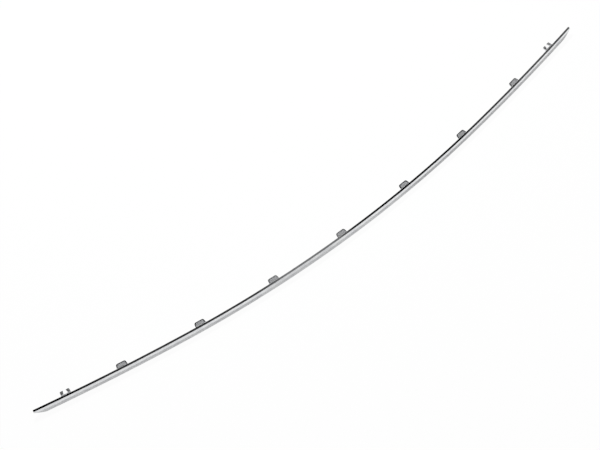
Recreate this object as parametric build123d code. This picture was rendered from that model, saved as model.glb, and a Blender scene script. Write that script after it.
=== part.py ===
from build123d import *
import math
import os

# A bright bumper trim: one moulded and plated strip, bowed to the bumper's plan curve. It is an open channel
# whose crowned face looks forward, along minus Y, with a narrow top land and a deeper bottom flange behind it.
# Seven clip tabs and a fork at each end stand rearward from the land. Both ends are mitred and closed by a wall.
# X runs along the strip, Y points rearward and Z up. The origin is at the middle of the strip's footprint.

# Plan curve of the top outer edge: a rounder middle stretch, a flatter one each side, and short straight ends
OVERALL_LENGTH = 1300.0
MIDDLE_RADIUS = 2555.0
MIDDLE_HALF_SPAN = 350.0
END_RADIUS = 4780.0

# Channel section, the same all along
HEIGHT = 18.0
FACE_LEAN = 3.0
FACE_CROWN = 0.7
LAND_DEPTH = 4.6
FLANGE_DEPTH = 8.0
WALL = 2.2
TOP_EDGE_RADIUS = 0.8
LOWER_EDGE_RADIUS = 1.2
LIP_RADIUS = 0.5
INNER_RADIUS = 0.6

# Mitred ends, on the straight last run: a square nose below the top edge, with the slanting cut under it
NOSE_HEIGHT = 3.0
MITRE_SETBACK = 22.0
STRAIGHT_BEFORE_MITRE = 10.0
END_WALL = 2.0

# Clip tabs, set out from the middle of the strip as far as the forks leave room
TAB_PITCH = 159.0
LEAST_TAB_TO_FORK = 80.0
TAB_BASE_WIDTH = 22.5
TAB_TIP_WIDTH = 19.0
TAB_REACH = 9.0
TAB_THICKNESS = 2.4
TAB_DROP = 0.4
TAB_CORNER_RADIUS = 3.0
TAB_EDGE_RADIUS = 0.4
POCKET_RIM = 2.2
POCKET_DEPTH = 0.8
POCKET_CORNER_RADIUS = 1.0
CATCH_WIDTH = 10.0
CATCH_LENGTH = 3.6
CATCH_HEIGHT = 1.3

# Forks, one near each tip, with prongs that lean in and narrow the slot towards its mouth
FORK_FROM_TIP = 63.5
FORK_WIDTH = 20.0
FORK_TIP_WIDTH = 18.0
SLOT_ROOT_WIDTH = 9.0
SLOT_MOUTH_WIDTH = 5.6
SLOT_DEPTH = 7.6
PRONG_CORNER_RADIUS = 1.6
SLOT_CORNER_RADIUS = 1.5

# Stiffening ribs across the channel, two behind each tab and fork
RIB_THICKNESS = 1.6
RIB_SPACING = 12.0
RIB_SETBACK = 0.8
GUSSET_REACH = 4.5
GUSSET_HEIGHT = 8.0

# Tangent angles of the plan curve in radians, at the end of the middle stretch and along the straight run
JUNCTION_ANGLE = math.asin(MIDDLE_HALF_SPAN / MIDDLE_RADIUS)
END_AXIS_X = (MIDDLE_RADIUS - END_RADIUS) * math.sin(JUNCTION_ANGLE)
END_AXIS_Y = (END_RADIUS - MIDDLE_RADIUS) * math.cos(JUNCTION_ANGLE)
STRAIGHT_RUN = MITRE_SETBACK + STRAIGHT_BEFORE_MITRE
TIP_REACH = OVERALL_LENGTH / 2 - END_AXIS_X
TIP_ANGLE = math.asin(TIP_REACH / math.hypot(END_RADIUS, STRAIGHT_RUN))
TIP_ANGLE -= math.atan2(STRAIGHT_RUN, END_RADIUS)
FRONT_DEGREES = -90.0


def edge_point(x):
    """Place on the top outer edge at x, turned so that X runs along the edge and Y points rearward."""
    side = 1 if x >= 0 else -1
    span = abs(x)
    straight_start = END_AXIS_X + END_RADIUS * math.sin(TIP_ANGLE)
    if span <= MIDDLE_HALF_SPAN:
        angle = math.asin(span / MIDDLE_RADIUS)
        y = -MIDDLE_RADIUS * math.cos(angle)
    else:
        angle = math.asin((min(span, straight_start) - END_AXIS_X) / END_RADIUS)
        y = END_AXIS_Y - END_RADIUS * math.cos(angle)
    y += max(span - straight_start, 0) * math.tan(TIP_ANGLE)
    return Location((x, y, 0), (0, 0, side * math.degrees(angle)))


def channel_outline(land_rear, flange_rear):
    """Closed outline of the section, drawn with X outward from the top outer edge and Y as the height."""
    crown = ThreePointArc((0, HEIGHT), face_middle(), (FACE_LEAN, 0))
    back = Polyline((FACE_LEAN, 0), (flange_rear, 0), (land_rear, HEIGHT), (0, HEIGHT))
    return make_face(crown.edges() + back.edges())


def face_middle():
    """Middle point of the crowned face, one crown proud of the straight line from edge to edge."""
    slant = math.hypot(FACE_LEAN, HEIGHT)
    proud = FACE_CROWN / slant
    return (FACE_LEAN / 2 + HEIGHT * proud, HEIGHT / 2 + FACE_LEAN * proud)


def solid_section():
    """Section without its hollow, with its outer edges and its lips rounded."""
    section = channel_outline(-LAND_DEPTH, FACE_LEAN - FLANGE_DEPTH)
    corners = section.vertices().sort_by(Axis.Y)
    lower = corners[:2].sort_by(Axis.X)
    upper = corners[2:].sort_by(Axis.X)
    section = fillet(lower[1], LOWER_EDGE_RADIUS)
    section = fillet(nearest_corner(section, upper[1]), TOP_EDGE_RADIUS)
    section = fillet(nearest_corner(section, lower[0]), LIP_RADIUS)
    return fillet(nearest_corner(section, upper[0]), LIP_RADIUS)


def nearest_corner(section, corner):
    """The section's own vertex at the place of a corner taken before an earlier rounding."""
    return section.vertices().sort_by_distance(corner.center())[0]


def hollow_section():
    """Hollow of the section: one wall inside the face, land and flange, and open far past the lips."""
    past_lips = -2 * (LAND_DEPTH + FLANGE_DEPTH)
    hollow = offset(channel_outline(past_lips, past_lips), -WALL, kind=Kind.INTERSECTION)
    inner = hollow.vertices().sort_by(Axis.X)[2:]
    return fillet(inner, INNER_RADIUS)


def swept(section):
    """Section turned along the plan curve and run straight on past both tips, for the mitres to cut."""
    upright = Plane.XZ * section
    junction = math.degrees(JUNCTION_ANGLE)
    straight = math.degrees(TIP_ANGLE)
    middle_start = Rot(0, 0, FRONT_DEGREES - junction) * Pos(MIDDLE_RADIUS, 0, 0)
    middle = revolve(middle_start * upright, Axis.Z, 2 * junction)
    end_axis = Axis((END_AXIS_X, END_AXIS_Y, 0), (0, 0, 1))
    end_centre = Pos(END_AXIS_X, END_AXIS_Y, 0)
    bend_start = end_centre * Rot(0, 0, FRONT_DEGREES + junction) * Pos(END_RADIUS, 0, 0)
    bend = revolve(bend_start * upright, end_axis, straight - junction)
    run_start = end_centre * Rot(0, 0, FRONT_DEGREES + straight) * Pos(END_RADIUS, 0, 0)
    along = (math.cos(TIP_ANGLE), math.sin(TIP_ANGLE), 0)
    run = extrude(run_start * upright, STRAIGHT_RUN + HEIGHT, dir=along)
    right = bend + run
    return middle + right + mirror(right, Plane.YZ)


def mitre_tool(inset):
    """Space past the right end's nose and slanting cut, with both moved inset mm into the strip."""
    slant_height = HEIGHT - NOSE_HEIGHT
    slope = math.atan2(MITRE_SETBACK, slant_height)
    back = inset / math.cos(slope)
    run = math.tan(slope)
    foot = (-MITRE_SETBACK - back - HEIGHT * run, -HEIGHT)
    nose = (-inset, slant_height + (back - inset) / run)
    past = 2 * HEIGHT
    outline = Polyline(foot, nose, (-inset, past), (past, past), (past, -HEIGHT), foot)
    space = extrude(Plane.XZ * make_face(outline), 3 * (LAND_DEPTH + FLANGE_DEPTH), both=True)
    return edge_point(OVERALL_LENGTH / 2) * space


def mitred(body, inset=0.0):
    """Body with both of its ends cut to the nose and the slanting mitre."""
    tool = mitre_tool(inset)
    return body - tool - mirror(tool, Plane.YZ)


def channel():
    """The open channel, with its two end walls left standing."""
    return mitred(swept(solid_section())) - mitred(swept(hollow_section()), END_WALL)


def tapered_face(near, far, near_width, far_width):
    """Face between two distances behind the edge, which tapers from one width to another."""
    near_half = near_width / 2
    far_half = far_width / 2
    return make_face(
        Polyline((-near_half, near), (near_half, near), (far_half, far), (-far_half, far), (-near_half, near))
    )


def tapered_plate(base_width, tip_width, corner_radius):
    """Flat plate of a tab, rooted in the land and rounded at its two free corners."""
    root = LAND_DEPTH - WALL / 2
    outline = tapered_face(root, LAND_DEPTH + TAB_REACH, base_width, tip_width)
    outline = fillet(outline.vertices().sort_by(Axis.Y)[-2:], corner_radius)
    underside = HEIGHT - TAB_DROP - TAB_THICKNESS
    return Pos(0, 0, underside) * extrude(outline, TAB_THICKNESS)


def tab_pocket():
    """Shallow pocket in a tab's upper face, one rim inside its free edges."""
    near = LAND_DEPTH + POCKET_RIM / 2
    far = LAND_DEPTH + TAB_REACH - POCKET_RIM
    outline = tapered_face(near, far, TAB_BASE_WIDTH - 2 * POCKET_RIM, TAB_TIP_WIDTH - 2 * POCKET_RIM)
    outline = fillet(outline.vertices(), POCKET_CORNER_RADIUS)
    return Pos(0, 0, HEIGHT - TAB_DROP - POCKET_DEPTH) * extrude(outline, POCKET_DEPTH + TAB_DROP)


def tab_catch():
    """Catch under a tab's tip: a ramp that rises from the tip to a square shoulder."""
    tip = LAND_DEPTH + TAB_REACH - TAB_EDGE_RADIUS
    seat = HEIGHT - TAB_DROP - TAB_THICKNESS / 2
    underside = seat - TAB_THICKNESS / 2
    shoulder = tip - CATCH_LENGTH
    outline = Polyline(
        (tip, seat),
        (tip, underside),
        (shoulder, underside - CATCH_HEIGHT),
        (shoulder, seat),
        (tip, seat),
    )
    return extrude(Plane.YZ * make_face(outline), CATCH_WIDTH / 2, both=True)


def rib_pair():
    """Two upright ribs across the channel, each running out under the tab as a gusset."""
    mid_wall = WALL / 2
    tab_core = HEIGHT - TAB_DROP - TAB_THICKNESS / 2
    outline = Polyline(
        (mid_wall, HEIGHT - mid_wall - TAB_DROP),
        (mid_wall - FACE_LEAN, mid_wall),
        (FLANGE_DEPTH - FACE_LEAN - RIB_SETBACK, mid_wall),
        (LAND_DEPTH - RIB_SETBACK, HEIGHT - GUSSET_HEIGHT),
        (LAND_DEPTH + GUSSET_REACH, tab_core),
        (mid_wall, HEIGHT - mid_wall - TAB_DROP),
    )
    rib = extrude(Plane.YZ * make_face(outline), RIB_THICKNESS / 2, both=True)
    return Pos(RIB_SPACING / 2, 0, 0) * rib + Pos(-RIB_SPACING / 2, 0, 0) * rib


def clip_tab():
    """One clip tab with its pocket, catch and ribs, standing rearward from the land."""
    plate = tapered_plate(TAB_BASE_WIDTH, TAB_TIP_WIDTH, TAB_CORNER_RADIUS)
    rim = plate.faces().sort_by(Axis.Z)[-1].edges().filter_by_position(Axis.Y, LAND_DEPTH, HEIGHT * 2)
    plate = fillet(rim, TAB_EDGE_RADIUS)
    return plate - tab_pocket() + tab_catch() + rib_pair()


def fork():
    """One fork: a plate with a slot open at the rear, which leaves two prongs and a web at the land."""
    plate = tapered_plate(FORK_WIDTH, FORK_TIP_WIDTH, PRONG_CORNER_RADIUS)
    tip = LAND_DEPTH + TAB_REACH
    outline = tapered_face(tip - SLOT_DEPTH, tip, SLOT_ROOT_WIDTH, SLOT_MOUTH_WIDTH)
    outline = fillet(outline.vertices().sort_by(Axis.Y)[:2], SLOT_CORNER_RADIUS)
    slot = extrude(outline, 2 * HEIGHT)
    return plate - slot + rib_pair()


def fork_station():
    """Distance of each fork from the strip's middle, measured along X."""
    return OVERALL_LENGTH / 2 - FORK_FROM_TIP


def tab_stations():
    """Places of the clip tabs along X: one in the middle, and as many each side as fit before the forks."""
    each_side = int((fork_station() - LEAST_TAB_TO_FORK) // TAB_PITCH)
    return [TAB_PITCH * number for number in range(-each_side, each_side + 1)]


def bumper_trim():
    """The whole strip, with its origin at the middle of its footprint."""
    trim = channel()
    tab = clip_tab()
    for station in tab_stations():
        trim += edge_point(station) * tab
    for side in (-1, 1):
        trim += edge_point(side * fork_station()) * fork()
    footprint = trim.bounding_box()
    return Pos(0, -(footprint.min.Y + footprint.max.Y) / 2, 0) * trim


os.makedirs("parts", exist_ok=True)
export_step(bumper_trim(), "parts/bumper_trim.step")
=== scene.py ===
"""Chrome bumper trim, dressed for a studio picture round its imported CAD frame.

The strip is one moulded and plated part: an open channel, bowed to the bumper's plan curve, with
clip tabs and forks behind its top land. Lengths are in millimetres until they reach Blender, which
works in metres in the CAD's own frame: X along the strip, Y rearward and Z up, with Z 0 at the
underside of the bottom flange.
"""

import logging
import math
from dataclasses import dataclass, field
from enum import Enum
from typing import Callable

import bmesh
import bpy
from mathutils import Matrix, Vector


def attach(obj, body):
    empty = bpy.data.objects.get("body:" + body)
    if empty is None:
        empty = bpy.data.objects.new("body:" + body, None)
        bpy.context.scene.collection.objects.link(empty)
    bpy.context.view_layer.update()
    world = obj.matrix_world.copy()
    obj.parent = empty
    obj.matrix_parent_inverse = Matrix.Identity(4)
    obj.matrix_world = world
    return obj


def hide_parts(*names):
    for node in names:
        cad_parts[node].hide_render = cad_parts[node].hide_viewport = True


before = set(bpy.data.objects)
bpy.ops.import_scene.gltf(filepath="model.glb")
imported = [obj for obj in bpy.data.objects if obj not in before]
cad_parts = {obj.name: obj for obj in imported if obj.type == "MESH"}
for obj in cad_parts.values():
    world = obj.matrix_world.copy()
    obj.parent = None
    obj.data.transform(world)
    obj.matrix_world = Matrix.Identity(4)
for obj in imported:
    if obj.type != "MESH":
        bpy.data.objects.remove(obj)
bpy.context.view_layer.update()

LOG = logging.getLogger("bumper_trim")
CAD_NODE = "bumper_trim"
BODY = "root"

MM = 0.001
# Reach in millimetres within which an element counts as being at a place
NEAR = 0.02
# Reach in millimetres within which doubled vertices are merged
WELD = 0.002
# Least share of a unit direction that counts as straight along an axis
ALONG = 0.999
# Least share of a unit direction that counts as nearer to an axis than to any other
MOSTLY = 0.9
SMOOTH_ANGLE = math.radians(32.0)
IMAGE_WIDTH = 600
SENSOR_WIDTH = 36.0
# Numbers of a Mix node's colour sockets, because it repeats their names for each kind of data
MIX_A, MIX_B, MIX_RESULT = 6, 7, 2


class Pick(Enum):
    """The three kinds of element that are selected in edit mode."""

    VERTEX = "VERT"
    EDGE = "EDGE"
    FACE = "FACE"


class Join(Enum):
    """The two Boolean operations that the trim needs."""

    ADD = "UNION"
    CUT = "DIFFERENCE"


class Finish(Enum):
    """Material slot of each finish on the strip."""

    BRIGHT = 0
    SATIN = 1
    SEMI_BRIGHT = 2


Place = tuple[float, float, float]
Pair = tuple[float, float]
Stops = tuple[Pair, ...]
Test = Callable[[Vector, Vector], bool]
Socket = str | int
Source = tuple[bpy.types.Node, Socket]


def linear(code: str) -> tuple[float, float, float, float]:
    """Turns an sRGB hex colour into linear light.

    Args:
        code: Six hex digits, two for each channel.

    Returns:
        Red, green, blue and an opaque alpha.
    """
    channels = [int(code[i : i + 2], 16) / 255 for i in (0, 2, 4)]
    light = [c / 12.92 if c <= 0.04045 else ((c + 0.055) / 1.055) ** 2.4 for c in channels]
    return (*light, 1.0)


def metres(*values: float) -> Vector:
    """Turns millimetres into a vector in metres."""
    return Vector(values) * MM


def deselect() -> None:
    """Leaves nothing selected in object mode."""
    if bpy.context.object and bpy.context.object.mode != "OBJECT":
        bpy.ops.object.mode_set(mode="OBJECT")
    bpy.ops.object.select_all(action="DESELECT")


def take(piece: bpy.types.Object) -> None:
    """Makes one piece the only selected and active one.

    Args:
        piece: The piece that the next operator acts on.
    """
    deselect()
    piece.select_set(True)
    bpy.context.view_layer.objects.active = piece


def fix_place() -> None:
    """Moves the active piece's place, turn and size into its mesh."""
    bpy.ops.object.transform_apply(location=True, rotation=True, scale=True)


def pick(kind: Pick, test: Test) -> None:
    """Selects elements of the mesh in edit mode by their place and direction.

    Args:
        kind: Which elements are looked at.
        test: Gets an element's middle in millimetres, and its normal, or an edge's own direction.
    """
    bpy.ops.mesh.select_mode(type=kind.value)
    bpy.ops.mesh.select_all(action="DESELECT")
    mesh = bpy.context.object.data
    edit = bmesh.from_edit_mesh(mesh)
    if kind is Pick.VERTEX:
        found = [(v, v.co, v.normal) for v in edit.verts]
    elif kind is Pick.EDGE:
        ends = [(e, e.verts[0].co, e.verts[1].co) for e in edit.edges]
        found = [(e, (a + b) / 2, (b - a).normalized()) for e, a, b in ends]
    else:
        found = [(f, f.calc_center_median(), f.normal) for f in edit.faces]
    for element, middle, direction in found:
        if test(middle / MM, direction):
            element.select_set(True)
    edit.select_flush_mode()
    bmesh.update_edit_mesh(mesh)


def pick_at(kind: Pick, place: Vector) -> None:
    """Selects the elements whose middle lies at a place in millimetres."""
    pick(kind, lambda middle, _: (middle - place).length < NEAR)


def slide(by: Vector) -> None:
    """Moves what is selected in edit mode by a vector in millimetres."""
    bpy.ops.transform.translate(value=by * MM)


def combine(target: bpy.types.Object, tool: bpy.types.Object, how: Join) -> None:
    """Adds a solid to another or cuts it out, and removes the tool.

    Args:
        target: The piece that is kept.
        tool: The closed solid that is added or cut out.
        how: Which of the two is done.
    """
    take(target)
    modifier = target.modifiers.new(name=how.value.lower(), type="BOOLEAN")
    modifier.operation = how.value
    modifier.solver = "MANIFOLD"
    modifier.object = tool
    bpy.ops.object.modifier_apply(modifier=modifier.name)
    bpy.data.objects.remove(tool, do_unlink=True)


def weld() -> None:
    """Merges doubled vertices of the active piece and turns its faces outward."""
    bpy.ops.object.mode_set(mode="EDIT")
    bpy.ops.mesh.select_all(action="SELECT")
    bpy.ops.mesh.remove_doubles(threshold=WELD * MM)
    bpy.ops.mesh.normals_make_consistent(inside=False)
    bpy.ops.object.mode_set(mode="OBJECT")


def copy_to(piece: bpy.types.Object, name: str, place: Matrix) -> bpy.types.Object:
    """Copies a piece with a mesh of its own and sets the copy down.

    Args:
        piece: The piece that is repeated.
        name: The copy's name.
        place: Where the copy goes, in metres.

    Returns:
        The copy, with its place in its mesh.
    """
    twin = piece.copy()
    twin.data = piece.data.copy()
    twin.name = name
    bpy.context.scene.collection.objects.link(twin)
    twin.matrix_world = place
    take(twin)
    fix_place()
    return twin


@dataclass(frozen=True)
class Coats:
    """The strip's finishes, built once and kept in the order of their slots."""

    materials: tuple[bpy.types.Material, ...]

    def put_on(self, piece: bpy.types.Object, finish: Finish = Finish.BRIGHT) -> None:
        """Gives a piece every finish as a slot, and all its faces one of them.

        Args:
            piece: The piece.
            finish: The finish that all its faces get.
        """
        piece.data.materials.clear()
        for material in self.materials:
            piece.data.materials.append(material)
        for face in piece.data.polygons:
            face.material_index = finish.value

    def coat(self, piece: bpy.types.Object, finish: Finish, test: Test) -> None:
        """Gives a finish to some of a piece's faces.

        Args:
            piece: The piece.
            finish: The finish.
            test: Gets a face's middle in millimetres and its normal.
        """
        take(piece)
        bpy.ops.object.mode_set(mode="EDIT")
        pick(Pick.FACE, test)
        piece.active_material_index = finish.value
        bpy.ops.object.material_slot_assign()
        bpy.ops.object.mode_set(mode="OBJECT")


@dataclass(frozen=True)
class PlanCurve:
    """Bowed line of the top outer edge, seen from above.

    It has a round middle, flatter sides and short straight ends.
    """

    # Puts the middle of the strip's footprint on the origin
    edge_y: float = -38.425
    middle_radius: float = 2555.0
    middle_half_span: float = 350.0
    end_radius: float = 4780.0
    half_length: float = 650.0
    straight_run: float = 32.0

    @property
    def junction_angle(self) -> float:
        """Turn of the curve where the round middle meets a flatter side."""
        return math.asin(self.middle_half_span / self.middle_radius)

    @property
    def middle_axis(self) -> Vector:
        """Centre of the middle arc."""
        return Vector((0.0, self.edge_y + self.middle_radius, 0.0))

    @property
    def end_axis(self) -> Vector:
        """Centre of the right side's arc.

        Returns:
            The centre in millimetres.
        """
        away = self.middle_radius - self.end_radius
        turn = self.junction_angle
        return self.middle_axis + Vector((away * math.sin(turn), -away * math.cos(turn), 0.0))

    @property
    def tip_angle(self) -> float:
        """Turn of the curve at the straight run and at the tip.

        Returns:
            The angle in radians.
        """
        reach = self.half_length - self.end_axis.x
        slant = math.hypot(self.end_radius, self.straight_run)
        return math.asin(reach / slant) - math.atan2(self.straight_run, self.end_radius)

    @property
    def along_tip(self) -> Vector:
        """Direction of the straight run."""
        return Vector((math.cos(self.tip_angle), math.sin(self.tip_angle), 0.0))

    def station(self, x: float) -> Matrix:
        """Finds the frame of the edge at one place along the strip.

        Args:
            x: Distance from the strip's middle in millimetres, to the right when positive.

        Returns:
            A matrix in metres whose X runs along the edge and whose Y points rearward.
        """
        side = 1.0 if x >= 0 else -1.0
        span = abs(x)
        axis = self.end_axis
        straight_start = axis.x + self.end_radius * math.sin(self.tip_angle)
        if span <= self.middle_half_span:
            angle = math.asin(span / self.middle_radius)
            y = self.middle_axis.y - self.middle_radius * math.cos(angle)
        else:
            angle = math.asin((min(span, straight_start) - axis.x) / self.end_radius)
            y = axis.y - self.end_radius * math.cos(angle)
        y += max(span - straight_start, 0.0) * math.tan(self.tip_angle)
        return Matrix.Translation(metres(x, y, 0.0)) @ Matrix.Rotation(side * angle, 4, "Z")


@dataclass(frozen=True)
class Section:
    """Section across the strip.

    It is drawn outward from the top outer edge and up from the flange's underside.
    """

    height: float = 18.0
    face_lean: float = 3.0
    face_crown: float = 0.7
    land_depth: float = 4.6
    flange_depth: float = 8.0
    wall: float = 2.2
    top_edge_radius: float = 0.8
    lower_edge_radius: float = 1.2
    lip_radius: float = 0.5
    inner_radius: float = 0.6

    @property
    def crown_radius(self) -> float:
        """Radius of the crowned face."""
        chord = math.hypot(self.face_lean, self.height)
        return (chord * chord / 4 + self.face_crown**2) / (2 * self.face_crown)

    @property
    def crown_centre(self) -> Pair:
        """Centre of the crowned face's arc.

        Returns:
            How far outward and how far up it lies.
        """
        chord = math.hypot(self.face_lean, self.height)
        back = self.face_crown - self.crown_radius
        return (
            self.face_lean / 2 + self.height / chord * back,
            self.height / 2 + self.face_lean / chord * back,
        )

    def face_out(self, z: float, inset: float = 0.0) -> float:
        """Finds how far out the crowned face lies.

        Args:
            z: The height at which it is measured.
            inset: How far behind the face it is measured, for the inner side.

        Returns:
            The distance outward from the top outer edge.
        """
        centre_out, centre_z = self.crown_centre
        radius = self.crown_radius - inset
        return centre_out + math.sqrt(radius * radius - (z - centre_z) ** 2)


@dataclass
class Channel:
    """The open channel: a crowned face between a land and a flange, with closed ends."""

    curve: PlanCurve
    section: Section
    coats: Coats
    station_pitch: float = 7.0
    crown_cuts: int = 13
    corner_steps: int = 6
    nose_height: float = 3.0
    mitre_setback: float = 22.0
    end_wall: float = 2.0
    past_lips: float = 24.0
    rim_softness: float = 0.25
    rim_steps: int = 2

    def _outline(self, name: str, z_low: float, z_high: float, inset: float, rears: Pair) -> None:
        """Draws a closed outline in the middle plane and leaves it in edit mode.

        Args:
            name: The new piece's name.
            z_low: Height of the lower straight side.
            z_high: Height of the upper straight side.
            inset: Distance behind the face.
            rears: How far out the lower and upper rear corners lie.
        """
        deselect()
        half = self.section.height / 2
        bpy.ops.mesh.primitive_plane_add(
            size=2 * half * MM, location=metres(0, 0, half), rotation=(0, math.pi / 2, 0)
        )
        bpy.context.object.name = name
        fix_place()
        bpy.ops.object.mode_set(mode="EDIT")
        front_low = self.section.face_out(z_low, inset)
        front_high = self.section.face_out(z_high, inset)
        corners = {
            (-half, 0.0): (front_low, z_low),
            (-half, 2 * half): (front_high, z_high),
            (half, 0.0): (rears[0], z_low),
            (half, 2 * half): (rears[1], z_high),
        }
        for (y, z), (out, height) in corners.items():
            pick_at(Pick.VERTEX, Vector((0, y, z)))
            slide(Vector((0, self.curve.edge_y - out - y, height - z)))
        self._crown(Vector((front_low, z_low)), Vector((front_high, z_high)), inset)

    def _crown(self, low: Vector, high: Vector, inset: float) -> None:
        """Divides the front side and pushes it out to the crowned arc.

        Args:
            low: Lower corner of the front side, outward and up.
            high: Upper corner of the front side.
            inset: Distance behind the face.
        """
        middle = (low + high) / 2
        pick_at(Pick.EDGE, Vector((0, self.curve.edge_y - middle.x, middle.y)))
        bpy.ops.mesh.subdivide(number_cuts=self.crown_cuts)
        centre = Vector(self.section.crown_centre)
        radius = self.section.crown_radius - inset
        for cut in range(1, self.crown_cuts + 1):
            chord = low.lerp(high, cut / (self.crown_cuts + 1))
            spoke = chord - centre
            push = spoke.normalized() * (radius - spoke.length)
            pick_at(Pick.VERTEX, Vector((0, self.curve.edge_y - chord.x, chord.y)))
            slide(Vector((0, -push.x, push.y)))

    def _round(self, out: float, z: float, radius: float, turn: float) -> None:
        """Rounds one corner of the outline.

        Args:
            out: How far out the corner lies.
            z: The corner's height.
            radius: Radius of the rounding.
            turn: Inside angle of the corner in degrees.
        """
        pick_at(Pick.VERTEX, Vector((0, self.curve.edge_y - out, z)))
        length = radius / math.tan(math.radians(turn) / 2)
        bpy.ops.mesh.bevel(
            offset_type="ABSOLUTE",
            offset=length * MM,
            segments=self.corner_steps,
            affect="VERTICES",
        )

    def _corner_turns(self) -> Pair:
        """Finds the corners between the crowned face and the level sides.

        Returns:
            The inside angle at the top and at the bottom in degrees.
        """
        centre_out, centre_z = self.section.crown_centre
        top = math.degrees(math.atan2(self.section.height - centre_z, -centre_out))
        bottom = math.degrees(math.atan2(centre_z, self.section.face_lean - centre_out))
        return 90.0 + top, 90.0 + bottom

    def _cut_end(self, inset: float) -> None:
        """Cuts the right end of the open sweep to the slanting mitre and the square nose above it.

        Args:
            inset: How far both cuts are moved into the strip, square to themselves.
        """
        height = self.section.height
        tip = self.curve.station(self.curve.half_length)
        mitre_foot = Vector((-self.mitre_setback, 0.0, 0.0))
        mitre_head = Vector((0.0, 0.0, height - self.nose_height))
        rise = mitre_head - mitre_foot
        cuts = (Vector((rise.z, 0.0, -rise.x)).normalized(), Vector((1.0, 0.0, 0.0)))
        for outward in cuts:
            bpy.ops.mesh.select_all(action="SELECT")
            bpy.ops.mesh.bisect(
                plane_co=tip @ ((mitre_head - outward * inset) * MM),
                plane_no=tip.to_3x3() @ outward,
                use_fill=True,
                clear_inner=False,
                clear_outer=True,
            )
        if inset == 0.0:
            walls = [tip.to_3x3() @ outward for outward in cuts]
            pick(Pick.FACE, lambda _, normal: any(normal.dot(wall) > ALONG for wall in walls))
            width = self.rim_softness * MM
            bpy.ops.mesh.bevel(offset=width, segments=self.rim_steps, affect="EDGES")

    def _sweep(self, inset: float) -> bpy.types.Object:
        """Turns the outline along the plan curve, cuts the end, and mirrors it into a closed solid.

        Args:
            inset: How far the end's cuts are moved into the strip.

        Returns:
            The closed solid.
        """
        curve = self.curve
        bpy.ops.mesh.select_all(action="SELECT")
        bpy.ops.mesh.delete(type="ONLY_FACE")
        bpy.ops.mesh.select_mode(type="EDGE")
        bpy.ops.mesh.select_all(action="SELECT")
        arcs = (
            (curve.middle_axis, curve.middle_radius, curve.junction_angle),
            (curve.end_axis, curve.end_radius, curve.tip_angle - curve.junction_angle),
        )
        for axis, radius, angle in arcs:
            steps = round(radius * angle / self.station_pitch)
            bpy.ops.mesh.spin(steps=steps, angle=-angle, center=axis * MM, axis=(0, 0, 1))
        run = curve.along_tip * (curve.straight_run + self.section.height)
        bpy.ops.mesh.extrude_edges_move(TRANSFORM_OT_translate={"value": run * MM})
        self._cut_end(inset)
        bpy.ops.object.mode_set(mode="OBJECT")
        piece = bpy.context.object
        mirror = piece.modifiers.new(name="mirror", type="MIRROR")
        mirror.merge_threshold = WELD * MM
        bpy.ops.object.modifier_apply(modifier=mirror.name)
        weld()
        return piece

    def build(self) -> bpy.types.Object:
        """Builds the channel as its outer solid less its hollow.

        Returns:
            The channel, which the fixings are then joined to.
        """
        s = self.section
        top_turn, bottom_turn = self._corner_turns()
        rear_low = s.face_lean - s.flange_depth
        self._outline("bright_trim", 0.0, s.height, 0.0, (rear_low, -s.land_depth))
        self._round(0.0, s.height, s.top_edge_radius, top_turn)
        self._round(s.face_lean, 0.0, s.lower_edge_radius, bottom_turn)
        back_lean = math.degrees(math.atan2(-s.land_depth - rear_low, s.height))
        self._round(rear_low, 0.0, s.lip_radius, 90.0 - back_lean)
        self._round(-s.land_depth, s.height, s.lip_radius, 90.0 + back_lean)
        outer = self._sweep(0.0)
        low, high = s.wall, s.height - s.wall
        self._outline("hollow", low, high, s.wall, (-self.past_lips, -self.past_lips))
        self._round(s.face_out(high, s.wall), high, s.inner_radius, top_turn)
        self._round(s.face_out(low, s.wall), low, s.inner_radius, bottom_turn)
        hollow = self._sweep(self.end_wall)
        self.coats.put_on(outer)
        self.coats.put_on(hollow, Finish.SATIN)
        combine(outer, hollow, Join.CUT)
        LOG.info("channel: %d faces", len(outer.data.polygons))
        return outer


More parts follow.
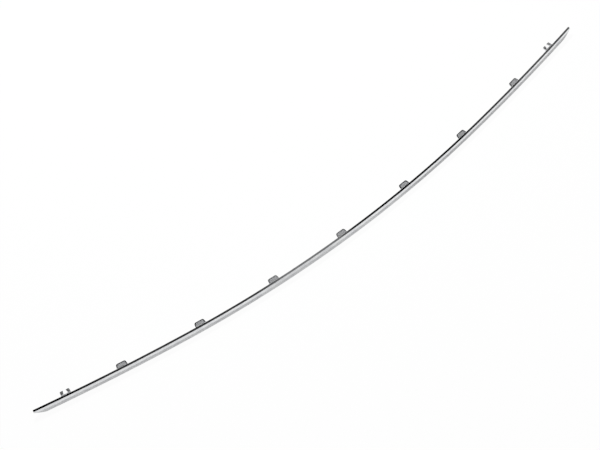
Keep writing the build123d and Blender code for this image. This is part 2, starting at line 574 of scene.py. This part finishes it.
@dataclass
class Fixing:
    """What the clip tabs and the forks share: a tapered plate behind the land, on two ribs."""

    section: Section
    coats: Coats
    reach: float = 9.0
    thickness: float = 2.4
    drop: float = 0.4
    edge_radius: float = 0.4
    rib_thickness: float = 1.6
    rib_spacing: float = 12.0
    rib_setback: float = 0.8
    gusset_reach: float = 4.5
    gusset_height: float = 8.0
    corner_steps: int = 8
    edge_steps: int = 3

    @property
    def tip(self) -> float:
        """How far behind the edge the plate ends."""
        return self.section.land_depth + self.reach

    @property
    def top(self) -> float:
        """Height of the plate's upper face."""
        return self.section.height - self.drop

    def block(self, name: str, widths: Pair, y: Pair, z: Pair) -> bpy.types.Object:
        """Adds a block that tapers from front to rear, and leaves it in edit mode.

        Args:
            name: The block's name.
            widths: Its width at the front and at the rear.
            y: Where it starts and ends behind the edge.
            z: Its lowest and highest level.

        Returns:
            The block.
        """
        deselect()
        bpy.ops.mesh.primitive_cube_add(size=MM, location=metres(0, sum(y) / 2, sum(z) / 2))
        piece = bpy.context.object
        piece.name = name
        piece.scale = (widths[0], y[1] - y[0], z[1] - z[0])
        fix_place()
        bpy.ops.object.mode_set(mode="EDIT")
        pick(Pick.FACE, lambda _, normal: normal.y > MOSTLY)
        rear = metres(0, y[1], sum(z) / 2)
        bpy.ops.transform.resize(value=(widths[1] / widths[0], 1, 1), center_override=rear)
        return piece

    def round_uprights(self, behind: float, ahead: float, radius: float) -> None:
        """Rounds the upright edges of a block between two distances behind the edge."""
        pick(Pick.EDGE, lambda middle, way: abs(way.z) > MOSTLY and behind < middle.y < ahead)
        bpy.ops.mesh.bevel(offset=radius * MM, segments=self.corner_steps, affect="EDGES")

    def soften_rim(self, front: float) -> None:
        """Rounds the edges round a plate's upper face.

        Args:
            front: How far behind the edge the rounding starts.
        """
        top = self.top
        pick(Pick.EDGE, lambda middle, _: abs(middle.z - top) < NEAR and middle.y > front)
        bpy.ops.mesh.bevel(offset=self.edge_radius * MM, segments=self.edge_steps, affect="EDGES")

    def plate(self, name: str, widths: Pair, corner: float) -> bpy.types.Object:
        """Builds the tapered plate with its two free corners and its upper rim rounded.

        Args:
            name: The plate's name.
            widths: Its width at the land and at its tip.
            corner: Radius of the free corners.

        Returns:
            The plate.
        """
        root = self.section.land_depth - self.section.wall / 2
        piece = self.block(name, widths, (root, self.tip), (self.top - self.thickness, self.top))
        self.round_uprights(self.tip - NEAR, self.tip + NEAR, corner)
        self.soften_rim(root + NEAR)
        bpy.ops.object.mode_set(mode="OBJECT")
        self.coats.put_on(piece)
        self.coats.coat(piece, Finish.SATIN, lambda _, normal: normal.z < -ALONG)
        return piece

    def part_top(self, piece: bpy.types.Object, split: float, root: Finish, tip: Finish) -> None:
        """Parts a plate's upper face into root and tip, and gives each of them a finish.

        Args:
            piece: The plate.
            split: How far behind the edge the root ends.
            root: Finish of the upper face up to there.
            tip: Finish of the upper face beyond.
        """
        take(piece)
        bpy.ops.object.mode_set(mode="EDIT")
        bpy.ops.mesh.select_all(action="SELECT")
        bpy.ops.mesh.bisect(plane_co=metres(0, split, 0), plane_no=(0, 1, 0))
        bpy.ops.object.mode_set(mode="OBJECT")
        self.coats.coat(piece, root, lambda middle, normal: normal.z > ALONG and middle.y < split)
        self.coats.coat(piece, tip, lambda middle, normal: normal.z > ALONG and middle.y > split)

    def rib(self, x: float) -> bpy.types.Object:
        """Builds one upright rib across the channel, with its gusset under the plate.

        Args:
            x: Where the rib stands beside the fixing's middle.

        Returns:
            The rib.
        """
        s = self.section
        inside = s.wall / 2
        corners = [
            (inside, self.top - inside),
            (inside - s.face_lean, inside),
            (s.flange_depth - s.face_lean - self.rib_setback, inside),
            (s.land_depth - self.rib_setback, s.height - self.gusset_height),
            (s.land_depth + self.gusset_reach, self.top - self.thickness / 2),
        ]
        deselect()
        start = x - self.rib_thickness / 2
        bpy.ops.mesh.primitive_circle_add(
            vertices=len(corners),
            radius=s.height * MM,
            fill_type="NGON",
            location=metres(start, 0, 0),
            rotation=(0, math.pi / 2, 0),
        )
        piece = bpy.context.object
        piece.name = "rib"
        fix_place()
        places = [v.co / MM for v in piece.data.vertices]
        bpy.ops.object.mode_set(mode="EDIT")
        for place, (y, z) in zip(places, corners):
            pick_at(Pick.VERTEX, place)
            slide(Vector((start, y, z)) - place)
        bpy.ops.mesh.select_all(action="SELECT")
        across = metres(self.rib_thickness, 0, 0)
        bpy.ops.mesh.extrude_region_move(TRANSFORM_OT_translate={"value": across})
        bpy.ops.mesh.select_all(action="SELECT")
        bpy.ops.mesh.normals_make_consistent(inside=False)
        bpy.ops.object.mode_set(mode="OBJECT")
        self.coats.put_on(piece, Finish.SATIN)
        return piece

    def add_ribs(self, piece: bpy.types.Object) -> None:
        """Stands both ribs under a plate."""
        for side in (-1, 1):
            combine(piece, self.rib(side * self.rib_spacing / 2), Join.ADD)


@dataclass
class ClipTab(Fixing):
    """A clip tab: a rounded plate with a shallow pocket above and a ramped catch below."""

    base_width: float = 22.5
    tip_width: float = 19.0
    corner_radius: float = 3.0
    pocket_rim: float = 2.2
    pocket_depth: float = 0.8
    pocket_corner: float = 1.0
    catch_width: float = 10.0
    catch_length: float = 3.6
    catch_height: float = 1.3

    @property
    def pocket_front(self) -> float:
        """How far behind the edge the pocket starts."""
        return self.section.land_depth + self.pocket_rim / 2

    def _pocket(self) -> bpy.types.Object:
        """Builds the block that is cut out of the plate's upper face.

        Returns:
            The block.
        """
        span = (self.pocket_front, self.tip - self.pocket_rim)
        widths = (self.base_width - 2 * self.pocket_rim, self.tip_width - 2 * self.pocket_rim)
        levels = (self.top - self.pocket_depth, self.top + self.pocket_depth)
        piece = self.block("pocket", widths, span, levels)
        self.round_uprights(0.0, self.tip, self.pocket_corner)
        bpy.ops.object.mode_set(mode="OBJECT")
        self.coats.put_on(piece, Finish.SATIN)
        return piece

    def _catch(self) -> bpy.types.Object:
        """Builds the ramp under the tip, which drops to a square shoulder.

        Returns:
            The ramp.
        """
        rear = self.tip - self.edge_radius
        seat = self.top - self.thickness / 2
        underside = self.top - self.thickness
        width = (self.catch_width, self.catch_width)
        front = rear - self.catch_length
        piece = self.block("catch", width, (front, rear), (underside, seat))
        pick_at(Pick.EDGE, Vector((0, front, underside)))
        slide(Vector((0, 0, -self.catch_height)))
        bpy.ops.object.mode_set(mode="OBJECT")
        self.coats.put_on(piece, Finish.SATIN)
        return piece

    def build(self) -> bpy.types.Object:
        """Builds one clip tab at the frame's origin.

        Returns:
            The clip tab with its ribs.
        """
        piece = self.plate("clip_tab", (self.base_width, self.tip_width), self.corner_radius)
        self.part_top(piece, self.pocket_front, Finish.SATIN, Finish.BRIGHT)
        combine(piece, self._pocket(), Join.CUT)
        combine(piece, self._catch(), Join.ADD)
        self.add_ribs(piece)
        return piece


@dataclass
class Fork(Fixing):
    """A fork: a plate with a slot open at the rear, which leaves two prongs."""

    base_width: float = 20.0
    tip_width: float = 18.0
    root_width: float = 9.0
    mouth_width: float = 5.6
    slot_depth: float = 7.6
    prong_corner: float = 1.6
    slot_corner: float = 1.5
    # How far behind the land the mould's fine erosion starts
    bright_from: float = 2.9

    def build(self) -> bpy.types.Object:
        """Builds one fork at the frame's origin.

        Returns:
            The fork with its ribs.
        """
        piece = self.plate("fork", (self.base_width, self.tip_width), self.prong_corner)
        root = self.tip - self.slot_depth
        past_tip = self.tip + self.thickness
        levels = (self.top - 2 * self.thickness, self.top + self.thickness)
        taper = (self.root_width - self.mouth_width) / self.slot_depth
        past_mouth = self.mouth_width - taper * self.thickness
        slot = self.block("slot", (self.root_width, past_mouth), (root, past_tip), levels)
        self.round_uprights(root - NEAR, root + NEAR, self.slot_corner)
        bpy.ops.object.mode_set(mode="OBJECT")
        self.coats.put_on(slot)
        split = self.section.land_depth + self.bright_from
        self.part_top(piece, split, Finish.SATIN, Finish.SEMI_BRIGHT)
        combine(piece, slot, Join.CUT)
        self.add_ribs(piece)
        return piece


def empty_tree(owner: bpy.types.Material | bpy.types.World) -> bpy.types.NodeTree:
    """Gives a material or a world a node tree with nothing in it.

    Args:
        owner: The material or the world.

    Returns:
        The empty tree.
    """
    owner.use_nodes = True
    owner.node_tree.nodes.clear()
    return owner.node_tree


def add_node(
    tree: bpy.types.NodeTree,
    kind: str,
    settings: dict[str, object] | None = None,
    values: dict[Socket, object] | None = None,
    links: dict[Socket, Source] | None = None,
) -> bpy.types.Node:
    """Adds a node with its settings, its socket values and its links.

    Args:
        tree: The tree that it goes into.
        kind: The node's type.
        settings: Attributes set on the node.
        values: Values for its sockets.
        links: The node and output that feed each linked socket.

    Returns:
        The node.
    """
    node = tree.nodes.new(kind)
    for name, value in (settings or {}).items():
        setattr(node, name, value)
    for socket, value in (values or {}).items():
        node.inputs[socket].default_value = value
    for socket, (source, output) in (links or {}).items():
        tree.links.new(source.outputs[output], node.inputs[socket])
    return node


def graded(tree: bpy.types.NodeTree, stops: Stops) -> bpy.types.Node:
    """Grades a level along X, smoothly from stop to stop.

    Args:
        tree: The tree that it goes into.
        stops: Places along X in metres in rising order, each with its level.

    Returns:
        The node whose colour is the level as a grey.
    """
    start, end = stops[0][0], stops[-1][0]
    place = add_node(tree, "ShaderNodeTexCoord")
    along = add_node(tree, "ShaderNodeSeparateXYZ", links={"Vector": (place, "Object")})
    reach = {"From Min": start, "From Max": end}
    share = add_node(tree, "ShaderNodeMapRange", values=reach, links={"Value": (along, "X")})
    ramp = add_node(tree, "ShaderNodeValToRGB", links={"Fac": (share, "Result")})
    ramp.color_ramp.interpolation = "EASE"
    marks = ramp.color_ramp.elements
    while len(marks) < len(stops):
        marks.new(1.0)
    for mark, (x, level) in zip(marks, stops):
        mark.position = (x - start) / (end - start)
        mark.color = (level, level, level, 1.0)
    return ramp


def mirrored_rays(tree: bpy.types.NodeTree, rays: bpy.types.Node) -> bpy.types.Node:
    """Adds the share of rays that a mirror or glass sends on: 1 for those and 0 for all others."""
    links = {0: (rays, "Is Glossy Ray"), 1: (rays, "Is Transmission Ray")}
    return add_node(tree, "ShaderNodeMath", {"operation": "MAXIMUM"}, links=links)


@dataclass(frozen=True)
class Pattern:
    """A cloudy pattern: the size of its patches in millimetres, and the finer detail in them."""

    size: float
    detail: float
    fineness: float

    @property
    def values(self) -> dict[Socket, object]:
        """Socket values for the noise that draws it."""
        return {"Scale": 1 / (self.size * MM), "Detail": self.detail, "Roughness": self.fineness}


@dataclass(frozen=True)
class Plating:
    """What the plated finishes share: a relief, and a pattern that colour and gloss follow."""

    name: str
    colours: tuple[str, str]
    roughness: Pair
    depth: float

    def add_shader(self, tree: bpy.types.NodeTree, relief: Source, share: Source) -> None:
        """Ends a plating's tree with its shader.

        Args:
            tree: The material's tree.
            relief: Height of the plated surface, from 0 to 1 of the depth.
            share: How far colour and roughness go from their first value to their second.
        """
        bump = add_node(
            tree,
            "ShaderNodeBump",
            values={"Strength": 1.0, "Distance": self.depth * MM},
            links={"Height": relief},
        )
        ends = {"To Min": self.roughness[0], "To Max": self.roughness[1]}
        rough = add_node(tree, "ShaderNodeMapRange", values=ends, links={"Value": share})
        tints = {MIX_A: linear(self.colours[0]), MIX_B: linear(self.colours[1])}
        colour = add_node(tree, "ShaderNodeMix", {"data_type": "RGBA"}, tints, {"Factor": share})
        shader = add_node(
            tree,
            "ShaderNodeBsdfPrincipled",
            values={"Metallic": 1.0},
            links={
                "Base Color": (colour, MIX_RESULT),
                "Roughness": (rough, "Result"),
                "Normal": (bump, "Normal"),
            },
        )
        add_node(tree, "ShaderNodeOutputMaterial", links={"Surface": (shader, "BSDF")})


@dataclass(frozen=True)
class PolishedChrome(Plating):
    """Bright chromium plate on ABS from a polished mould, left as plated.

    It gives the eye a mirror: reflections waver a little with the orange peel of the moulding. They
    are softer and a shade darker in the haze that wiping leaves, drawn out along the strip.
    """

    name: str = "bright_chromium_plate_on_polished_moulded_abs"
    # Clean plating first, then hazed
    colours: tuple[str, str] = ("EEEFEF", "D6D7DA")
    roughness: Pair = (0.05, 0.11)
    # Real peel is 1 to 3 mm across and a few thousandths deep. It is drawn at 9 mm and deeper,
    # because less than that is under a pixel or two.
    depth: float = 0.035
    peel: Pattern = Pattern(size=9.0, detail=1.5, fineness=0.4)
    haze: Pattern = Pattern(size=7.0, detail=3.0, fineness=0.55)
    haze_stretch: float = 2.0
    haze_range: Pair = (0.3, 0.7)

    def build(self) -> bpy.types.Material:
        """Builds the material.

        Returns:
            The material.
        """
        material = bpy.data.materials.new(self.name)
        tree = empty_tree(material)
        place = add_node(tree, "ShaderNodeTexCoord")
        on_piece = {"Vector": (place, "Object")}
        peel = add_node(tree, "ShaderNodeTexNoise", values=self.peel.values, links=on_piece)
        stretch = {"Scale": (1 / self.haze_stretch, 1.0, 1.0)}
        drawn_out = add_node(tree, "ShaderNodeMapping", values=stretch, links=on_piece)
        along_strip = {"Vector": (drawn_out, "Vector")}
        haze = add_node(tree, "ShaderNodeTexNoise", values=self.haze.values, links=along_strip)
        ends = {"From Min": self.haze_range[0], "From Max": self.haze_range[1]}
        share = add_node(tree, "ShaderNodeMapRange", values=ends, links={"Value": (haze, "Fac")})
        self.add_shader(tree, (peel, "Fac"), (share, "Result"))
        return material


@dataclass(frozen=True)
class ErodedChrome(Plating):
    """The same plating over ABS from a spark-eroded mould, as on tabs, forks and back.

    It gives the eye a soft grey sheen: the fine pits spread each reflection over a wide part of the
    room, more where the mould was eroded coarser, and show as a faint grain.
    """

    name: str = "satin_chromium_plate_on_spark_eroded_moulded_abs"
    # The pits first, then the ridges between them
    colours: tuple[str, str] = ("DBDCDE", "E4E5E6")
    roughness: Pair = (0.60, 0.74)
    depth: float = 0.02
    # Real pits are 0.02 to 0.05 mm across. They are drawn at 0.5 mm, because real ones never show
    # at this distance.
    grain: Pattern = Pattern(size=0.5, detail=2.0, fineness=0.6)

    def build(self) -> bpy.types.Material:
        """Builds the material.

        Returns:
            The material.
        """
        material = bpy.data.materials.new(self.name)
        tree = empty_tree(material)
        place = add_node(tree, "ShaderNodeTexCoord")
        on_piece = {"Vector": (place, "Object")}
        grain = add_node(tree, "ShaderNodeTexNoise", values=self.grain.values, links=on_piece)
        self.add_shader(tree, (grain, "Fac"), (grain, "Fac"))
        return material


@dataclass
class Trim:
    """The whole strip: the channel with seven clip tabs and two forks joined to it."""

    curve: PlanCurve = field(default_factory=PlanCurve)
    section: Section = field(default_factory=Section)
    tab_pitch: float = 159.0
    tabs_each_side: int = 3
    fork_from_tip: float = 63.5

    def _coats(self) -> Coats:
        """Builds the three finishes, in the order of their slots."""
        semi_bright = ErodedChrome(
            "semi_bright_chromium_plate_on_fine_eroded_moulded_abs", roughness=(0.32, 0.42)
        )
        return Coats((PolishedChrome().build(), ErodedChrome().build(), semi_bright.build()))

    def build(self) -> bpy.types.Object:
        """Builds the strip as one closed piece.

        Returns:
            The strip, at the origin and unturned.
        """
        coats = self._coats()
        piece = Channel(self.curve, self.section, coats).build()
        tab = ClipTab(self.section, coats).build()
        for number in range(-self.tabs_each_side, self.tabs_each_side + 1):
            place = self.curve.station(number * self.tab_pitch)
            combine(piece, copy_to(tab, f"clip_tab_{number}", place), Join.ADD)
        bpy.data.objects.remove(tab, do_unlink=True)
        fork = Fork(self.section, coats).build()
        for side in (-1, 1):
            place = self.curve.station(side * (self.curve.half_length - self.fork_from_tip))
            combine(piece, copy_to(fork, f"fork_{side}", place), Join.ADD)
        bpy.data.objects.remove(fork, do_unlink=True)
        take(piece)
        weld()
        bpy.ops.object.shade_smooth_by_angle(angle=SMOOTH_ANGLE)
        even = piece.modifiers.new(name="even_normals", type="WEIGHTED_NORMAL")
        even.keep_sharp = True
        bpy.ops.object.modifier_apply(modifier=even.name)
        LOG.info("strip: %d faces", len(piece.data.polygons))
        return piece

    def hand_over(self, piece: bpy.types.Object) -> None:
        """Sets the strip on its body in place of its CAD node.

        Args:
            piece: The strip.
        """
        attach(piece, BODY)
        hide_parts(CAD_NODE)


@dataclass(frozen=True)
class PaperSweep:
    """Matt white paper under the strip, whose fibres scatter light evenly.

    To the camera it is white with a faint shadow. In the plating it shows its own lit and shaded
    tone, with a share of plain white and a grey tone graded along the strip: painted reflection
    that makes the strip's face lighter or darker from place to place.
    """

    name: str = "matt_white_paper"
    colour: str = "F2F2F2"
    seen_share: float = 0.95
    # Painted reflection: share of plain white that only the plating mirrors, at places along X in
    # metres
    white_shares: Stops = (
        (-0.65, 0.26),
        (-0.20, 0.26),
        (-0.15, 0.60),
        (-0.01, 0.60),
        (0.03, 0.30),
        (0.14, 0.29),
        (0.20, 0.08),
        (0.26, 0.11),
        (0.33, 0.13),
        (0.42, 0.17),
        (0.65, 0.17),
    )
    # Painted reflection: tone of the floor that only the plating mirrors, at places along X in
    # metres
    tones: Stops = (
        (-0.65, 1.0),
        (-0.20, 1.0),
        (-0.15, 0.72),
        (-0.01, 0.72),
        (0.03, 1.0),
        (0.65, 1.0),
    )

    def build(self) -> bpy.types.Material:
        """Builds the material.

        Returns:
            The material.
        """
        material = bpy.data.materials.new(self.name)
        tree = empty_tree(material)
        rays = add_node(tree, "ShaderNodeLightPath")
        mirrored = mirrored_rays(tree, rays)
        # Graded painted reflection: the white share for mirrored rays varies along the strip
        share = add_node(
            tree,
            "ShaderNodeMath",
            {"operation": "MULTIPLY"},
            links={0: (mirrored, 0), 1: (graded(tree, self.white_shares), "Color")},
        )
        white_share = add_node(
            tree,
            "ShaderNodeMath",
            {"operation": "MULTIPLY_ADD"},
            {1: self.seen_share},
            {0: (rays, "Is Camera Ray"), 2: (share, 0)},
        )
        tone = add_node(
            tree,
            "ShaderNodeMix",
            {"data_type": "RGBA"},
            {MIX_B: linear("FFFFFF")},
            {"Factor": (rays, "Is Camera Ray"), MIX_A: (graded(tree, self.tones), "Color")},
        )
        glow = {"Color": (tone, MIX_RESULT)}
        white = add_node(tree, "ShaderNodeEmission", values={"Strength": 1.0}, links=glow)
        paper = add_node(tree, "ShaderNodeBsdfDiffuse", values={"Color": linear(self.colour)})
        links = {0: (white_share, 0), 1: (paper, "BSDF"), 2: (white, "Emission")}
        sweep = add_node(tree, "ShaderNodeMixShader", links=links)
        add_node(tree, "ShaderNodeOutputMaterial", links={"Surface": (sweep, 0)})
        return material


@dataclass(frozen=True)
class PaintedReflectionCard:
    """Painted reflection on a card: a dark glow that only the plating mirrors, lighting nothing.

    It is one tone all over, or greyer where a row of tones rises along X.
    """

    name: str
    tones: float | Stops

    def build(self) -> bpy.types.Material:
        """Builds the material.

        Returns:
            The material.
        """
        material = bpy.data.materials.new(self.name)
        tree = empty_tree(material)
        values: dict[Socket, object] = {"Strength": 1.0}
        links: dict[Socket, Source] = {}
        if isinstance(self.tones, float):
            values["Color"] = (self.tones, self.tones, self.tones, 1.0)
        else:
            links["Color"] = (graded(tree, self.tones), "Color")
        # The glow is a painted reflection: the card lights nothing, and only the plating mirrors it
        reflection_paint = add_node(tree, "ShaderNodeEmission", values=values, links=links)
        add_node(tree, "ShaderNodeOutputMaterial", links={"Surface": (reflection_paint, "Emission")})
        return material


@dataclass(frozen=True)
class Lamp:
    """A soft rectangular lamp, with its places and size in metres and its power in watts."""

    name: str
    place: Place
    aim: Place
    size: Pair
    power: float

    def hang(self) -> None:
        """Hangs the lamp, which the plating doesn't show."""
        data = bpy.data.lights.new(self.name, "AREA")
        data.shape = "RECTANGLE"
        data.size, data.size_y = self.size
        data.energy = self.power
        lamp = bpy.data.objects.new(self.name, data)
        bpy.context.scene.collection.objects.link(lamp)
        lamp.location = self.place
        lamp.rotation_mode = "QUATERNION"
        lamp.rotation_quaternion = (Vector(self.aim) - Vector(self.place)).to_track_quat("-Z", "Y")
        lamp.visible_glossy = False


@dataclass
class Studio:
    """A pale floor, a white surround, a soft lamp, dark cards that paint reflections in the
    plating, and the camera.

    Its lengths are in metres, apart from the camera's target and the floor's gap.
    """

    azimuth: float = -38.15
    elevation: float = 66.0
    distance: float = 2.4948
    focal_pixels: float = 1317.4
    target: Place = (-51.12, 30.89, 18.0)
    clip_range: Pair = (0.05, 50.0)
    floor_size: float = 12.0
    floor_gap: float = 0.1
    surround_for_light: float = 0.5
    surround_seen: float = 1.0
    card_place: Place = (0.29, 0.30, 1.0)
    card_size: Place = (2.6, 1.2, 1.0)
    # Painted reflection: tone of the card's glow, seen only in the plating, at places along X in
    # metres
    card_tones: Stops = (
        (-1.6, 0.0),
        (-0.58, 0.0),
        (-0.38, 0.04),
        (0.0, 0.04),
        (0.10, 0.23),
        (0.27, 0.23),
        (0.33, 0.0),
        (0.70, 0.0),
        (0.92, 0.065),
        (1.15, 0.10),
        (1.6, 0.10),
    )
    ring_radius: float = 5.5
    ring_height: float = 0.75
    ring_sides: int = 96
    # Painted reflection: tone of the ring's glow, which only the plating mirrors as a dark horizon
    ring_tone: float = 0.07
    key: Lamp = Lamp(
        name="key_strip_light",
        place=(0.3, 1.35, 2.0),
        aim=(0.5, 0.0, 0.0),
        size=(1.0, 0.12),
        power=43.0,
    )

    def add_camera(self) -> None:
        """Sets up the camera at the photograph's viewing angle."""
        a, e = math.radians(self.azimuth), math.radians(self.elevation)
        back = Vector((math.sin(a) * math.cos(e), -math.cos(a) * math.cos(e), math.sin(e)))
        data = bpy.data.cameras.new("camera")
        data.sensor_width = SENSOR_WIDTH
        data.lens = self.focal_pixels / IMAGE_WIDTH * SENSOR_WIDTH
        data.clip_start, data.clip_end = self.clip_range
        camera = bpy.data.objects.new("camera", data)
        bpy.context.scene.collection.objects.link(camera)
        camera.location = metres(*self.target) + back * self.distance
        camera.rotation_mode = "QUATERNION"
        camera.rotation_quaternion = (-back).to_track_quat("-Z", "Y")
        bpy.context.scene.camera = camera

    def add_floor(self) -> None:
        """Lays the pale floor."""
        deselect()
        under = metres(0, 0, -self.floor_gap)
        bpy.ops.mesh.primitive_plane_add(size=self.floor_size, location=under)
        floor = bpy.context.object
        floor.name = "studio_floor"
        fix_place()
        floor.data.materials.append(PaperSweep().build())

    def add_surround(self) -> None:
        """Surrounds the set with white: plain as light, full for the camera and the plating."""
        world = bpy.data.worlds.new("white_surround")
        bpy.context.scene.world = world
        tree = empty_tree(world)
        rays = add_node(tree, "ShaderNodeLightPath")
        links = {0: (rays, "Is Camera Ray"), 1: (mirrored_rays(tree, rays), 0)}
        seen = add_node(tree, "ShaderNodeMath", {"operation": "MAXIMUM"}, links=links)
        levels = {"To Min": self.surround_for_light, "To Max": self.surround_seen}
        level = add_node(tree, "ShaderNodeMapRange", values=levels, links={"Value": (seen, 0)})
        surround = add_node(
            tree,
            "ShaderNodeBackground",
            values={"Color": linear("FFFFFF")},
            links={"Strength": (level, "Result")},
        )
        add_node(tree, "ShaderNodeOutputWorld", links={"Surface": (surround, "Background")})

    def _set_card(self, card: bpy.types.Object, name: str, reflection_paint: PaintedReflectionCard) -> None:
        """Dresses a card that shows in the plating alone and doesn't shade the set.

        Args:
            card: The card.
            name: Its name.
            reflection_paint: The glowing material whose painted reflection the plating shows.
        """
        card.name = name
        fix_place()
        card.data.materials.append(reflection_paint.build())
        card.visible_camera = False
        card.visible_diffuse = False
        card.visible_shadow = False

    def add_cards(self) -> None:
        """Hangs the card and stands the ring that paint dark reflections in the plating."""
        deselect()
        bpy.ops.mesh.primitive_plane_add(size=1.0, location=self.card_place)
        card = bpy.context.object
        card.scale = self.card_size
        # Painted reflection: a dark and grey glow along X that the land and tabs mirror as their
        # dark line
        reflection_paint = PaintedReflectionCard("painted_dark_and_grey_reflection", self.card_tones)
        self._set_card(card, "overhead_card", reflection_paint)
        deselect()
        bpy.ops.mesh.primitive_cylinder_add(
            vertices=self.ring_sides,
            radius=self.ring_radius,
            depth=self.ring_height,
            end_fill_type="NOTHING",
            location=(0, 0, self.ring_height / 2),
        )
        ring = bpy.context.object
        # The ring paints a dark horizon reflection in the plating and lights nothing
        self._set_card(ring, "horizon_ring", PaintedReflectionCard("painted_dark_horizon_reflection", self.ring_tone))

    def build(self) -> None:
        """Sets up the whole studio."""
        bpy.context.scene.view_settings.view_transform = "Standard"
        self.add_camera()
        self.add_floor()
        self.add_surround()
        self.add_cards()
        self.key.hang()


def main() -> None:
    """Builds the studio and the strip, in that order."""
    logging.basicConfig(level=logging.INFO, format="%(name)s: %(message)s")
    Studio().build()
    trim = Trim()
    piece = trim.build()
    trim.hand_over(piece)
    LOG.info("%s stands for %s", piece.name, CAD_NODE)


if __name__ == "__main__":
    main()
